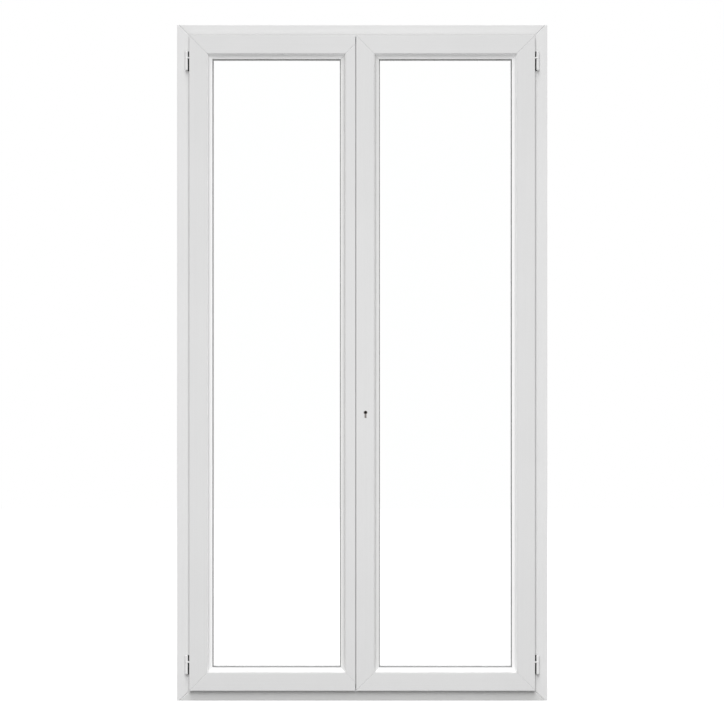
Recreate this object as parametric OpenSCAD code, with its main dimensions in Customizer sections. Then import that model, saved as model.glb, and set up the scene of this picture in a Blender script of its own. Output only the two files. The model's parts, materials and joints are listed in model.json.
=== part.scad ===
// Two-leaf glazed french door in its frame, seen from the room side.
// Origin: middle of the sill's underside. +X right, +Y to the outside, +Z up. Millimetres.

/* [Door] */
// Overall width of the frame
frame_w = 1200; // [1100:10:1500]
// Overall height of the frame
frame_h = 2190; // [2000:10:2300]
// Room-side joint between the leaves, left of the middle
meeting_offset = 19.5; // [10:0.5:40]

/* [Frame profile] */
// Depth of the frame from room face to outside face
frame_depth = 70; // [68:1:76]
// Width of the frame's room face up to the rebate
frame_face_w = 48.5; // [46:0.5:54]
// How far the room face curves back at the rebate
face_fall_t = 2.5; // [1:0.1:3]
// Height trimmed off the head's outer edge
head_trim = 5.5; // [4:0.5:8]
// Height trimmed off the sill's underside
sill_trim = 9; // [6:0.5:10]
// How far the outside leg stands past the rebate
upstand_w = 20; // [18:0.5:24]
// Depth of the outside leg
upstand_t = 20; // [18:0.5:22]

/* [Leaf profile] */
// Overlap of a leaf's flange on the frame
flange_overlap = 8; // [7:0.5:9]
// Overlap of a leaf's flange on the head
head_overlap = 7; // [5:0.5:8]
// Overlap of a leaf's flange on the sill
sill_overlap = 6; // [5:0.5:8]
// Gap between a leaf's body and the frame's rebate
rebate_gap = 12; // [11:0.5:13]
// Thickness of a leaf's flange
flange_t = 16; // [15:0.5:18]
// Gap between flange and frame that the seal fills
seal_gap = 4; // [3.5:0.1:5]
// Width of a leaf's face from flange tip to bead
leaf_face_w = 58; // [56:0.5:66]
// Outer wall of every hollow profile
wall_t = 3; // [2.5:0.1:3.4]
// Inner web of every hollow profile
web_t = 2.2; // [2:0.1:2.6]

/* [Glazing] */
// Thickness of each pane
pane_t = 4; // [3:0.5:5]
// Gap between the panes
cavity_t = 16; // [12:1:17]
// Thickness of the seals on both sides of the glass
glazing_seal_t = 3; // [2.5:0.1:4]
// Width of the leg behind the glass
glazing_leg_w = 18; // [18:0.5:22]
// Thickness of the leg behind the glass
glazing_leg_t = 14; // [12:0.5:15]
// Width of the glazing bead
bead_w = 16.4; // [14:0.1:16.8]
// Setback of the bead behind the leaf's face
bead_setback = 2; // [1:0.1:3]
// Height of the packers under the glass
packer_t = 5; // [4:0.5:6]

/* [Hinges] */
// Radius of the hinge barrels
barrel_r = 5; // [4.5:0.1:5.5]
// Distance from the flange's edge to the hinge axis
axis_offset = 9.5; // [8.5:0.1:11]
// Distance from the frame's face to the hinge axis
axis_standoff = 10; // [9:0.1:11]
// Radius of the hinge pins
pin_r = 2.7; // [2.4:0.1:3]
// Height of the lower half, fixed to the frame
post_h = 37; // [30:1:44]
// Height of the upper half, fixed to the leaf
knuckle_h = 24; // [20:1:30]
// Split of the top hinge, down from the leaf's top edge
top_split_drop = 74; // [60:0.5:120]
// Split of the bottom hinge, up from the leaf's bottom edge
bottom_split_rise = 90; // [60:0.5:140]

/* [Lock] */
// Height of the keyhole's round part above the sill's underside
keyhole_z = 934; // [850:1:1050]
// Distance from the right leaf's flange edge to the keyhole
keyhole_inset = 30.4; // [29:0.1:33]
// Radius of the keyhole's round part
keyhole_r = 6; // [5.5:0.1:6.5]
// Width of the keyhole's lower part
keyhole_slot_w = 6; // [5:0.1:7]
// Whole height of the keyhole
keyhole_h = 23.5; // [20:0.5:26]
// Width of the flat bar that rods and bolts are made of
bar_w = 12; // [10:0.5:13]
// Thickness of that bar
bar_t = 4; // [3:0.1:5]
// Travel of rods and bolts
bolt_travel = 20; // [16:0.5:22]
// Radius of the locking cams
cam_r = 4.5; // [4:0.1:5]

/* [Fixings] */
// Radius of the fixing holes through the jambs
fixing_r = 4; // [3:0.1:5]
// Spacing of the outer pair of fixing holes in a jamb
outer_fixing_spacing = 1690; // [1500:10:1800]
// Spacing of the inner pair of fixing holes in a jamb
inner_fixing_spacing = 590; // [400:10:800]

/* [Hidden] */
$fn = 48;

// Colours
white_pvc = "#e9e9e7";
seal_grey = "#a3a5a6";
steel_grey = "#9c9fa2";
packer_blue = "#3d6f9e";
shim_black = "#232323";
glass_tint = [0.85, 0.93, 0.92, 0.25];
LEFT = -1;
RIGHT = 1;

// Small sizes shared by all pieces
overrun = 1;
fit_gap = 0.3;
slide_gap = 0.2;
pin_gap = 0.05;
weld_w = 2.4;
frame_weld_w = 4.5;
bead_joint = 0.2;
face_r = 2.5;
flange_edge_r = 1.2;
edge_r = 1;
corner_steps = 4;

// Frame places
front_y = -frame_depth / 2;
back_y = frame_depth / 2;
upstand_front_v = frame_depth - upstand_t;
frame_reach = frame_face_w + upstand_w;
frame_rect = [-frame_w / 2, -sill_trim, frame_w / 2, frame_h + head_trim];
chamber_u = max(head_trim, sill_trim) + wall_t;
front_chamber_t = 15;
face_fall_w = 24;
face_fall_steps = 8;
frame_steel_v = wall_t + front_chamber_t + web_t;
clip_groove_w = 6;
clip_groove_d = 4;
clip_groove_shares = [0.2, 0.78];
rebate_x = frame_w / 2 - frame_face_w;
rebate_top = frame_h + head_trim - frame_face_w;
rebate_bottom = frame_face_w - sill_trim;

// Leaf places
leaf_depth = flange_t + upstand_front_v;
leaf_front_y = front_y - seal_gap - flange_t;
flange_w = flange_overlap + rebate_gap;
leaf_reach_x = rebate_x + flange_overlap;
leaf_z0 = rebate_bottom - sill_overlap;
leaf_z1 = rebate_top + head_overlap;
body_z0 = leaf_z0 + flange_w;
body_z1 = leaf_z1 - flange_w;
mullion_wall_t = 4;
meeting_gap = rebate_gap - slide_gap;
joint_gap = 2.5;
right_tip_x = -meeting_offset;
right_edge_x = right_tip_x + flange_w;
left_edge_x = right_edge_x - meeting_gap - mullion_wall_t;
left_tip_x = left_edge_x + flange_w;
step_x = right_tip_x - joint_gap;
leaf_reach = leaf_face_w + glazing_leg_w;
leg_v = leaf_depth - glazing_leg_t;
outer_pane_v = leg_v - glazing_seal_t - pane_t;
spacer_v = outer_pane_v - cavity_t;
inner_pane_v = spacer_v - pane_t;
bead_back_v = inner_pane_v - glazing_seal_t;
glass_u = leaf_face_w + packer_t;
spacer_w = 10;
packer_l = 100;
packer_share = 0.3;
bead_flat = 2;
bead_u = leaf_face_w + bead_w;
cove_r = bead_w - bead_flat;
cove_steps = 12;

// Hardware groove in the leaf's edge
recess_t = 2.8;
plate_t = 2.5;
plate_w = bar_w + bar_t;
recess_w = plate_w + 2 * slide_gap;
channel_w = bar_w + 2 * slide_gap;
channel_t = 2 * bar_t;
groove_v = flange_t + wall_t / 2 + recess_w / 2 + wall_t;
groove_y = leaf_front_y + groove_v;
groove_end_u = flange_w + recess_t + channel_t;
steel_v = groove_v + recess_w / 2 + wall_t;
steel_t = 1.5;
steel_end_gap = 25;

// Hinge places
hinge_x = leaf_reach_x + axis_offset;
hinge_y = front_y - axis_standoff;
hinge_splits = [leaf_z0 + bottom_split_rise, leaf_z1 - top_split_drop];
washer_t = 1;
stem_r = 2.5;
stem_reach = 13;
stem_spread_share = 0.28;
knuckle_low = washer_t / 2 + slide_gap;
arm_h = 4;
arm_t = 6;
arm_y = leaf_front_y + flange_t / 2;
knuckle_cap_t = 5;
barrel_tip_r = 2;
neck_w = 6;
shim_t = 1.5;
shim_rim = 1;

// Lock places
keyhole_x = right_tip_x + keyhole_inset;
cylinder_wall_t = 1.75;
plug_r = keyhole_r - cylinder_wall_t;
cylinder_setback = 3;
plug_setback = 8;
key_slot_w = 1.6;
key_slot_share = 0.75;
case_w = 29;
case_d = 19;
case_h = 134;
case_x = right_edge_x + recess_t;
case_y = groove_y - case_d / 2;
case_z0 = keyhole_z - case_h / 2;
case_z1 = keyhole_z + case_h / 2;
tongue_h = bolt_travel + bar_t + edge_r;
plate_end_gap = 8;
rod_x = right_edge_x + recess_t + slide_gap;
bolt_x = left_edge_x - recess_t - slide_gap - bar_t;
rod_top = body_z1 - edge_r / 2;
rod_bottom = body_z0 + edge_r / 2;
cam_shares = [0.3, 0.62];
cam_tip_gap = 2;
keep_t = 2;
mullion_face_x = left_edge_x + mullion_wall_t;
cam_tip_x = mullion_face_x + keep_t + cam_tip_gap;
lip_t = 3.5;
lip_h = 20;
keep_margin = 16;
keep_plate_d = lip_t + 2 * cam_r + keep_margin;
keep_plate_l = bolt_travel + lip_h + 2 * keep_margin;
keep_x0 = bolt_x - keep_margin / 2;
keep_x1 = rod_x + bar_t + keep_margin / 2;
bolt_l = 220;
knob_rise = 22;
knob_r = 4;
knob_tip_x = mullion_face_x + keep_t + wall_t;
socket_t = 8;
socket_gap = 1;
upper_rod_z0 = case_z1 - tongue_h;
lower_rod_z1 = case_z0 + tongue_h;
upper_cams = [for (share = cam_shares) upper_rod_z0 + share * (rod_top - upper_rod_z0)];
lower_cams = [for (share = cam_shares) lower_rod_z1 - share * (lower_rod_z1 - rod_bottom)];
upper_knob_z = rod_top - bolt_l + knob_rise;
lower_knob_z = rod_bottom + bolt_l - knob_rise;

// Screws of the keeps
screw_r = 1.5;
screw_head_r = 2.8;
screw_head_t = 1.6;
screw_slot_w = 0.8;
screw_slot_t = 1;
screw_slot_share = 0.6;
screw_inset = 3.6;
bolt_keep_screw_l = 10;
lock_keep_screw_l = 14;

// Mullion places
cover_left = 15;
cover_right = 8;
cover_clear = 5;
cover_cap_t = 3;
cover_r = 4;
cover_x0 = left_edge_x - cover_left;
cover_x1 = right_edge_x + cover_right;
cover_z0 = rebate_bottom + upstand_w + cover_clear;
cover_z1 = rebate_top - upstand_w - cover_clear;
leaf_back_y = leaf_front_y + leaf_depth;
upstand_front_y = back_y - upstand_t;

// Seals
seal_tip = seal_gap - fit_gap;
flange_seal_u = 1;
flange_seal_w = 3.5;
seal_share = 1 - (flange_overlap - flange_seal_u - edge_r) / face_fall_w;
frame_seal_tip = seal_tip + face_fall_t * seal_share * seal_share;
rebate_seal_w = 5.5;
rebate_seal_u = frame_reach - edge_r - rebate_seal_w;

// Drain caps
drain_w = 42;
drain_h = 13;
drain_t = 5;
drain_slot_h = 4;
drain_z = rebate_bottom / 2;
drain_x = frame_w / 4;

// Arc of a rounded corner at b, between the edges from a and to c
function corner_arc(a, b, c, r) =
    let (d1 = (a - b) / norm(a - b))
    let (d2 = (c - b) / norm(c - b))
    let (half = acos(d1 * d2) / 2)
    let (centre = b + (d1 + d2) / norm(d1 + d2) * r / sin(half))
    let (p = b + d1 * r / tan(half) - centre)
    let (from = atan2(p[1], p[0]))
    let (turn = sign(cross(d2, d1)) * (180 - 2 * half))
    [for (i = [0:corner_steps])
        let (angle = from + turn * i / corner_steps)
        centre + r * [cos(angle), sin(angle)]];

function xy(p) = [p[0], p[1]];

// Outline through points [x, y, radius], with a round corner where the radius isn't zero
function rounded(points) =
    let (n = len(points))
    [for (i = [0:n - 1])
        let (a = xy(points[(i + n - 1) % n]), b = xy(points[i]), c = xy(points[(i + 1) % n]))
        each points[i][2] > 0 ? corner_arc(a, b, c, points[i][2]) : [b]];

function is_upright(side) = side == "left" || side == "right";
function side_length(rect, side) = is_upright(side) ? rect[3] - rect[1] : rect[2] - rect[0];
function glass_length(rect, side) = side_length(rect, side) - 2 * glass_u;
function leaf_rect(leaf) = leaf == LEFT
    ? [-leaf_reach_x, leaf_z0, left_tip_x, leaf_z1]
    : [right_tip_x, leaf_z0, leaf_reach_x, leaf_z1];
function hinge_side(leaf) = leaf == LEFT ? "left" : "right";
function meeting_side(leaf) = leaf == LEFT ? "right" : "left";

// Turns a bar that runs along Z, with its section's X towards the middle of rect, onto one side of rect
module along_side(rect, side) {
    middle = [(rect[0] + rect[2]) / 2, 0, (rect[1] + rect[3]) / 2];
    if (side == "left") translate([rect[0], 0, middle[2]]) children();
    if (side == "right") translate([rect[2], 0, middle[2]]) rotate([0, 180, 0]) children();
    if (side == "bottom") translate([middle[0], 0, rect[1]]) rotate([0, -90, 0]) children();
    if (side == "top") translate([middle[0], 0, rect[3]]) rotate([0, 90, 0]) children();
}

// Section extruded along Z and cut at 45 degrees at both ends
module mitred_bar(length, reach) {
    span = 2 * (frame_depth + leaf_depth);
    intersection() {
        linear_extrude(length, center = true) children();
        rotate([90, 0, 0]) linear_extrude(span, center = true) polygon([
            [0, -length / 2], [reach, reach - length / 2], [reach, length / 2 - reach], [0, length / 2]]);
    }
}

// Closed ring of four bars lapped at the corners, with the section's outer edge at u and its Y from front
module lapped_ring(rect, front, u) {
    for (side = ["left", "right", "top", "bottom"])
        translate([0, front, 0]) along_side(rect, side)
            linear_extrude(side_length(rect, side) - 2 * u, center = true) children();
}

// Shallow V along the welded mitre on one face, at both ends of a bar
module weld_lines(length, reach, face_v, width) {
    for (end = [-1, 1])
        translate([0, face_v, end * length / 2]) rotate([0, end * 45, 0]) rotate([45, 0, 0])
            cube([2 * sqrt(2) * reach, width / sqrt(2), width / sqrt(2)], center = true);
}

module rect_section(u0, v0, u1, v1) {
    translate([u0, v0]) square([u1 - u0, v1 - v0]);
}

// Points of the room face where it curves back to the rebate
function face_fall() =
    [for (i = [0:face_fall_steps - 1])
        let (share = i / face_fall_steps)
        [frame_face_w - (1 - share) * face_fall_w, face_fall_t * share * share, 0]];

// Frame profile: room face, rebate and outside leg
module frame_outline(trim) {
    difference() {
        polygon(rounded([
            each face_fall(), [frame_face_w, face_fall_t, edge_r], [frame_face_w, upstand_front_v, 0],
            [frame_reach, upstand_front_v, edge_r], [frame_reach, frame_depth, face_r],
            [trim, frame_depth, edge_r], [trim, 0, edge_r]]));
        for (share = clip_groove_shares)
            translate([trim - overrun, share * frame_depth - clip_groove_w / 2])
                square([clip_groove_d + overrun, clip_groove_w]);
    }
}

module frame_chambers() {
    rect_section(chamber_u, wall_t + face_fall_t, frame_face_w - wall_t, wall_t + front_chamber_t);
    rect_section(chamber_u, frame_steel_v, frame_face_w - wall_t, upstand_front_v - web_t);
    rect_section(chamber_u, upstand_front_v + wall_t, frame_reach - wall_t, frame_depth - wall_t);
}

module frame_member(side, trim) {
    length = side_length(frame_rect, side);
    room = [frame_w, frame_depth, frame_h];
    intersection() {
        translate([0, front_y, 0]) along_side(frame_rect, side) difference() {
            mitred_bar(length, frame_reach) frame_outline(trim);
            linear_extrude(length, center = true) frame_chambers();
            weld_lines(length, frame_face_w, 0, frame_weld_w);
            weld_lines(length, frame_reach, frame_depth, weld_w);
        }
        translate([0, 0, frame_h / 2]) cube(room, center = true);
    }
}

// Slots in head and sill that the rods and bolts shoot into
module bolt_sockets(z, rise, gap) {
    for (x = [rod_x, bolt_x])
        translate([x - gap, groove_y - bar_w / 2 - gap, z])
            cube([bar_t + 2 * gap, bar_w + 2 * gap, rise]);
}

// Cross-head screw with its face at zero, driven towards +Z
module countersunk_screw(length) {
    difference() {
        union() {
            cylinder(r1 = screw_head_r, r2 = screw_r, h = screw_head_t);
            cylinder(r = screw_r, h = length);
        }
        for (turn = [0, 90]) rotate([0, 0, turn])
            translate([-screw_slot_share * screw_head_r, -screw_slot_w / 2, -overrun])
                cube([2 * screw_slot_share * screw_head_r, screw_slot_w, screw_slot_t + overrun]);
    }
}

module screw_hole(length) {
    translate([0, 0, -overrun]) cylinder(r = screw_head_r + pin_gap, h = overrun);
    cylinder(r1 = screw_head_r + pin_gap, r2 = screw_r + pin_gap, h = screw_head_t);
    cylinder(r = screw_r + pin_gap, h = length + pin_gap);
}

module at_bolt_keep_screws() {
    for (x = [keep_x0 + screw_inset, keep_x1 - screw_inset]) {
        translate([x, groove_y, rebate_top - keep_t]) children();
        translate([x, groove_y, rebate_bottom + keep_t]) mirror([0, 0, 1]) children();
    }
}

module at_lock_keep_screws() {
    y = front_y + keep_plate_d - screw_inset;
    middles = concat([for (z = upper_cams) z + bolt_travel / 2], [for (z = lower_cams) z - bolt_travel / 2]);
    for (z = middles, end = [-1, 1])
        translate([mullion_face_x + keep_t, y, z + end * (keep_plate_l / 2 - screw_inset)])
            rotate([0, -90, 0]) children();
}

module fixing_holes(side_x) {
    for (spacing = [outer_fixing_spacing, inner_fixing_spacing], end = [-1, 1])
        translate([side_x, 0, frame_h / 2 + end * spacing / 2]) rotate([0, 90, 0])
            cylinder(r = fixing_r, h = 2 * frame_reach, center = true);
}

module stem_holes(leaf) {
    for (z = hinge_splits)
        mirrored(leaf) translate([hinge_x, front_y, z - washer_t / 2 - post_h / 2])
            for (end = [-1, 1]) translate([0, 0, end * stem_spread_share * post_h])
                rotate([-90, 0, 0]) translate([0, 0, -overrun])
                    cylinder(r = stem_r + pin_gap, h = stem_reach + 2 * overrun);
}

module mirrored(leaf) {
    if (leaf == LEFT) mirror([1, 0, 0]) children();
    else children();
}

module frame_head() {
    color(white_pvc) difference() {
        frame_member("top", head_trim);
        bolt_sockets(rebate_top - overrun, socket_t + bolt_travel / 2 + overrun, socket_gap);
        at_bolt_keep_screws() screw_hole(bolt_keep_screw_l);
    }
}

module frame_sill() {
    color(white_pvc) difference() {
        frame_member("bottom", sill_trim);
        bolt_sockets(rebate_bottom - socket_t - wall_t, socket_t + wall_t + overrun, socket_gap);
        at_bolt_keep_screws() screw_hole(bolt_keep_screw_l);
        drain_slots();
    }
}

// Water leaves the rebate through its floor and then through the outside wall
module drain_slots() {
    length = drain_w - 2 * face_r;
    through = wall_t + 2 * overrun;
    floor_y = upstand_front_y - web_t - drain_slot_h;
    for (side = [LEFT, RIGHT]) translate([side * drain_x - length / 2, 0, 0]) {
        translate([0, back_y - wall_t - overrun, drain_z - drain_slot_h / 2])
            cube([length, through, drain_slot_h]);
        translate([0, floor_y, rebate_bottom - wall_t - overrun]) cube([length, drain_slot_h, through]);
    }
}

module frame_jamb(leaf) {
    color(white_pvc) difference() {
        frame_member(hinge_side(leaf), 0);
        fixing_holes(leaf * frame_w / 2);
        stem_holes(leaf);
    }
}

module frame_left_jamb() {
    frame_jamb(LEFT);
}

module frame_right_jamb() {
    frame_jamb(RIGHT);
}

// Channel of bent steel that fills a chamber's width
module steel_channel(u0, v0, u1, v1) {
    difference() {
        rect_section(u0, v0, u1, v1);
        rect_section(u0 + steel_t, v0 + steel_t, u1 + overrun, v1 - steel_t);
    }
}

module frame_steels() {
    ends = 2 * (frame_reach + steel_end_gap);
    color(steel_grey) difference() {
        for (side = ["left", "right", "top", "bottom"])
            translate([0, front_y, 0]) along_side(frame_rect, side)
                linear_extrude(side_length(frame_rect, side) - ends, center = true)
                    steel_channel(chamber_u + fit_gap, frame_steel_v + fit_gap,
                        frame_face_w - wall_t - fit_gap, upstand_front_v - web_t - fit_gap);
        for (leaf = [LEFT, RIGHT]) fixing_holes(leaf * frame_w / 2);
    }
}

// Hollow-backed lip that a leaf's back closes on
module frame_seal() {
    color(seal_grey) lapped_ring(frame_rect, front_y, rebate_seal_u)
        polygon([
            [rebate_seal_u, upstand_front_v], [rebate_seal_u + rebate_seal_w, upstand_front_v],
            [rebate_seal_u + rebate_seal_w, upstand_front_v - seal_tip / 2],
            [rebate_seal_u + rebate_seal_w / 2, upstand_front_v - seal_tip],
            [rebate_seal_u, upstand_front_v - seal_tip / 2]]);
}

// Hinge barrel from zero up to a rounded tip
module barrel(length) {
    rotate_extrude() polygon(rounded([
        [0, 0, 0], [barrel_r, 0, 0], [barrel_r, length, barrel_tip_r], [0, length, 0]]));
}

// Lower hinge halves: barrel, neck and two stems in the jamb
module hinge_posts() {
    top = -washer_t / 2;
    color(white_pvc) for (leaf = [LEFT, RIGHT], z = hinge_splits)
        mirrored(leaf) translate([hinge_x, hinge_y, z + top]) difference() {
            union() {
                mirror([0, 0, 1]) barrel(post_h);
                translate([-neck_w / 2, 0, barrel_tip_r - post_h])
                    cube([neck_w, axis_standoff, post_h - barrel_tip_r]);
                for (end = [-1, 1])
                    translate([0, axis_standoff, end * stem_spread_share * post_h - post_h / 2])
                        rotate([-90, 0, 0]) cylinder(r = stem_r, h = stem_reach);
            }
            translate([0, 0, knuckle_cap_t - post_h]) cylinder(r = pin_r + pin_gap, h = post_h);
        }
}

// Black plates on the jambs, between each hinge and the leaf's edge
module hinge_shims() {
    x0 = leaf_reach_x + shim_rim;
    z0 = -washer_t / 2 - post_h - shim_rim;
    color(shim_black) for (leaf = [LEFT, RIGHT], z = hinge_splits)
        mirrored(leaf) translate([x0, front_y - shim_t, z + z0])
            cube([hinge_x - neck_w / 2 - x0, shim_t, knuckle_h - z0]);
}

module hinge_pins() {
    low = knuckle_cap_t - post_h - washer_t / 2;
    high = knuckle_h - knuckle_cap_t;
    color(steel_grey) for (leaf = [LEFT, RIGHT], z = hinge_splits)
        translate([leaf * hinge_x, hinge_y, z + low]) cylinder(r = pin_r, h = high - low);
}

module hinge_washers() {
    color(white_pvc) for (leaf = [LEFT, RIGHT], z = hinge_splits)
        translate([leaf * hinge_x, hinge_y, z - washer_t / 2]) difference() {
            cylinder(r = barrel_r - edge_r / 2, h = washer_t);
            translate([0, 0, -overrun]) cylinder(r = pin_r + pin_gap, h = washer_t + 2 * overrun);
        }
}

// Steel plates over the sockets in head and sill
module bolt_keeps() {
    color(steel_grey) for (z = [rebate_bottom, rebate_top - keep_t]) difference() {
        translate([keep_x0, groove_y - plate_w / 2, z]) cube([keep_x1 - keep_x0, plate_w, keep_t]);
        bolt_sockets(z - overrun, keep_t + 2 * overrun, socket_gap);
        at_bolt_keep_screws() screw_hole(bolt_keep_screw_l);
    }
}

module bolt_keep_screws() {
    color(steel_grey) at_bolt_keep_screws() countersunk_screw(bolt_keep_screw_l);
}

// Hoods over the drain slots on the outside of the sill
module drain_caps() {
    color(white_pvc) for (side = [LEFT, RIGHT])
        translate([side * drain_x, back_y, drain_z]) difference() {
            rotate([-90, 0, 0]) linear_extrude(drain_t) polygon(rounded([
                [-drain_w / 2, -drain_h / 2, face_r], [drain_w / 2, -drain_h / 2, face_r],
                [drain_w / 2, drain_h / 2, face_r], [-drain_w / 2, drain_h / 2, face_r]]));
            translate([-drain_w / 2 + face_r, -overrun, -drain_h / 2 - overrun])
                cube([drain_w - 2 * face_r, drain_t - edge_r + overrun, drain_slot_h + overrun]);
        }
}

// Leaf profile: flange, body with its hardware groove, and the leg behind the glass
module leaf_outline() {
    difference() {
        polygon(rounded([
            [0, 0, flange_edge_r], [leaf_face_w, 0, edge_r], [leaf_face_w, leg_v, 0],
            [leaf_reach, leg_v, edge_r], [leaf_reach, leaf_depth, face_r],
            [flange_w, leaf_depth, edge_r], [flange_w, flange_t, 0], [0, flange_t, edge_r]]));
        rect_section(flange_w - overrun, groove_v - recess_w / 2,
            flange_w + recess_t, groove_v + recess_w / 2);
        rect_section(flange_w, groove_v - channel_w / 2, groove_end_u, groove_v + channel_w / 2);
    }
}

module leaf_front_chamber() {
    rect_section(wall_t, wall_t, leaf_face_w - wall_t, flange_t - wall_t);
}

module leaf_back_chambers() {
    rect_section(groove_end_u + wall_t, flange_t, leaf_face_w - wall_t, steel_v - web_t);
    rect_section(flange_w + wall_t, steel_v, leaf_face_w - wall_t, leaf_depth - wall_t);
    rect_section(leaf_face_w, leg_v + wall_t, leaf_reach - wall_t, leaf_depth - wall_t);
}

// The left leaf's meeting edge is stepped back under the right leaf's flange
module meeting_step(from_x, back) {
    translate([from_x, leaf_front_y - overrun, 0])
        cube([leaf_reach_x, back - leaf_front_y + overrun, frame_h]);
}

module leaf_member(leaf, side) {
    rect = leaf_rect(leaf);
    length = side_length(rect, side);
    difference() {
        translate([0, leaf_front_y, 0]) along_side(rect, side) difference() {
            mitred_bar(length, leaf_reach) leaf_outline();
            linear_extrude(length, center = true) leaf_back_chambers();
            weld_lines(length, leaf_face_w, 0, weld_w);
            weld_lines(length, leaf_reach, leaf_depth, weld_w);
        }
        difference() {
            translate([0, leaf_front_y, 0]) along_side(rect, side)
                linear_extrude(length, center = true) leaf_front_chamber();
            if (leaf == LEFT) meeting_step(step_x - wall_t, front_y);
        }
        if (leaf == LEFT) meeting_step(step_x, front_y);
        if (side == hinge_side(leaf)) mirrored(leaf) knuckle_stems(stem_r + pin_gap, overrun);
    }
}

module left_top_rail() {
    color(white_pvc) leaf_member(LEFT, "top");
}

module left_bottom_rail() {
    color(white_pvc) leaf_member(LEFT, "bottom");
}

module left_hinge_stile() {
    color(white_pvc) leaf_member(LEFT, hinge_side(LEFT));
}

module left_meeting_stile() {
    color(white_pvc) difference() {
        leaf_member(LEFT, meeting_side(LEFT));
        at_lock_keep_screws() screw_hole(lock_keep_screw_l);
    }
}

module right_top_rail() {
    color(white_pvc) leaf_member(RIGHT, "top");
}

module right_bottom_rail() {
    color(white_pvc) leaf_member(RIGHT, "bottom");
}

module right_hinge_stile() {
    color(white_pvc) leaf_member(RIGHT, hinge_side(RIGHT));
}

// Round-topped outline of keyhole and cylinder, grown by gap, run along Y from y0 to y1
module keyhole_prism(gap, y0, y1) {
    foot = keyhole_h - keyhole_r + gap;
    translate([keyhole_x, y1, keyhole_z]) rotate([90, 0, 0]) linear_extrude(y1 - y0) {
        circle(r = keyhole_r + gap);
        translate([-keyhole_slot_w / 2 - gap, -foot]) square([keyhole_slot_w + 2 * gap, foot]);
    }
}

// The stile that carries the lock: routed pocket behind the faceplate and a keyhole through the face
module right_meeting_stile() {
    color(white_pvc) difference() {
        leaf_member(RIGHT, meeting_side(RIGHT));
        translate([right_edge_x, case_y - slide_gap, case_z0 - slide_gap])
            cube([recess_t + case_w + slide_gap, case_d + 2 * slide_gap, case_h + 2 * slide_gap]);
        keyhole_prism(slide_gap, leaf_front_y - overrun, case_y);
    }
}

module leaf_steels(leaf) {
    rect = leaf_rect(leaf);
    color(steel_grey) for (side = ["left", "right", "top", "bottom"])
        translate([0, leaf_front_y, 0]) along_side(rect, side)
            linear_extrude(side_length(rect, side) - 2 * (leaf_reach + steel_end_gap), center = true)
                steel_channel(flange_w + wall_t + fit_gap, steel_v + fit_gap,
                    leaf_face_w - wall_t - fit_gap, leaf_depth - wall_t - fit_gap);
}

module left_leaf_steels() {
    color(steel_grey) difference() {
        leaf_steels(LEFT);
        at_lock_keep_screws() screw_hole(lock_keep_screw_l);
    }
}

module right_leaf_steels() {
    leaf_steels(RIGHT);
}

// Snap-in bead with a hollow cove towards the glass
module bead_section() {
    cove = [for (i = [0:cove_steps])
        let (angle = 90 * i / cove_steps)
        [bead_u - cove_r * cos(angle), bead_setback + cove_r * sin(angle), 0]];
    face = [[leaf_face_w, bead_setback, edge_r]];
    back = [[bead_u, bead_back_v, 0], [leaf_face_w, bead_back_v, 0]];
    polygon(rounded(concat(face, cove, back)));
}

module bead(leaf, side) {
    rect = leaf_rect(leaf);
    color(white_pvc) translate([0, leaf_front_y, 0]) along_side(rect, side)
        mitred_bar(side_length(rect, side) - 2 * bead_joint, leaf_reach) bead_section();
}

module left_top_bead() {
    bead(LEFT, "top");
}

module left_bottom_bead() {
    bead(LEFT, "bottom");
}

module left_hinge_bead() {
    bead(LEFT, hinge_side(LEFT));
}

module left_meeting_bead() {
    bead(LEFT, meeting_side(LEFT));
}

module right_top_bead() {
    bead(RIGHT, "top");
}

module right_bottom_bead() {
    bead(RIGHT, "bottom");
}

module right_hinge_bead() {
    bead(RIGHT, hinge_side(RIGHT));
}

module right_meeting_bead() {
    bead(RIGHT, meeting_side(RIGHT));
}

module pane(leaf, v) {
    rect = leaf_rect(leaf);
    color(glass_tint) translate([rect[0] + glass_u, leaf_front_y + v, rect[1] + glass_u])
        cube([rect[2] - rect[0] - 2 * glass_u, pane_t, rect[3] - rect[1] - 2 * glass_u]);
}

module left_inner_pane() {
    pane(LEFT, inner_pane_v);
}

module left_outer_pane() {
    pane(LEFT, outer_pane_v);
}

module right_inner_pane() {
    pane(RIGHT, inner_pane_v);
}

module right_outer_pane() {
    pane(RIGHT, outer_pane_v);
}

// Block as deep as the gap between the panes, inset by u from the leaf's rectangle
module cavity_block(leaf, u, lead) {
    rect = leaf_rect(leaf);
    translate([rect[0] + u, leaf_front_y + spacer_v - lead, rect[1] + u])
        cube([rect[2] - rect[0] - 2 * u, cavity_t + 2 * lead, rect[3] - rect[1] - 2 * u]);
}

module spacer(leaf) {
    color(steel_grey) difference() {
        cavity_block(leaf, glass_u, 0);
        cavity_block(leaf, glass_u + spacer_w, overrun);
    }
}

module left_spacer() {
    spacer(LEFT);
}

module right_spacer() {
    spacer(RIGHT);
}

// Soft strip between bead and glass, with a lip that shows as a grey line
module bead_seal(leaf) {
    color(seal_grey) lapped_ring(leaf_rect(leaf), leaf_front_y, glass_u)
        polygon([
            [glass_u, bead_back_v], [bead_u, bead_back_v], [leaf_reach, inner_pane_v - edge_r],
            [leaf_reach, inner_pane_v], [glass_u, inner_pane_v]]);
}

module left_bead_seal() {
    bead_seal(LEFT);
}

module right_bead_seal() {
    bead_seal(RIGHT);
}

module glazing_seal(leaf) {
    color(seal_grey) lapped_ring(leaf_rect(leaf), leaf_front_y, glass_u)
        polygon([
            [glass_u, leg_v], [glass_u, leg_v - glazing_seal_t],
            [leaf_reach + edge_r, leg_v - glazing_seal_t],
            [leaf_reach + edge_r, leg_v - glazing_seal_t + edge_r], [leaf_reach, leg_v]]);
}

module left_glazing_seal() {
    glazing_seal(LEFT);
}

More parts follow.
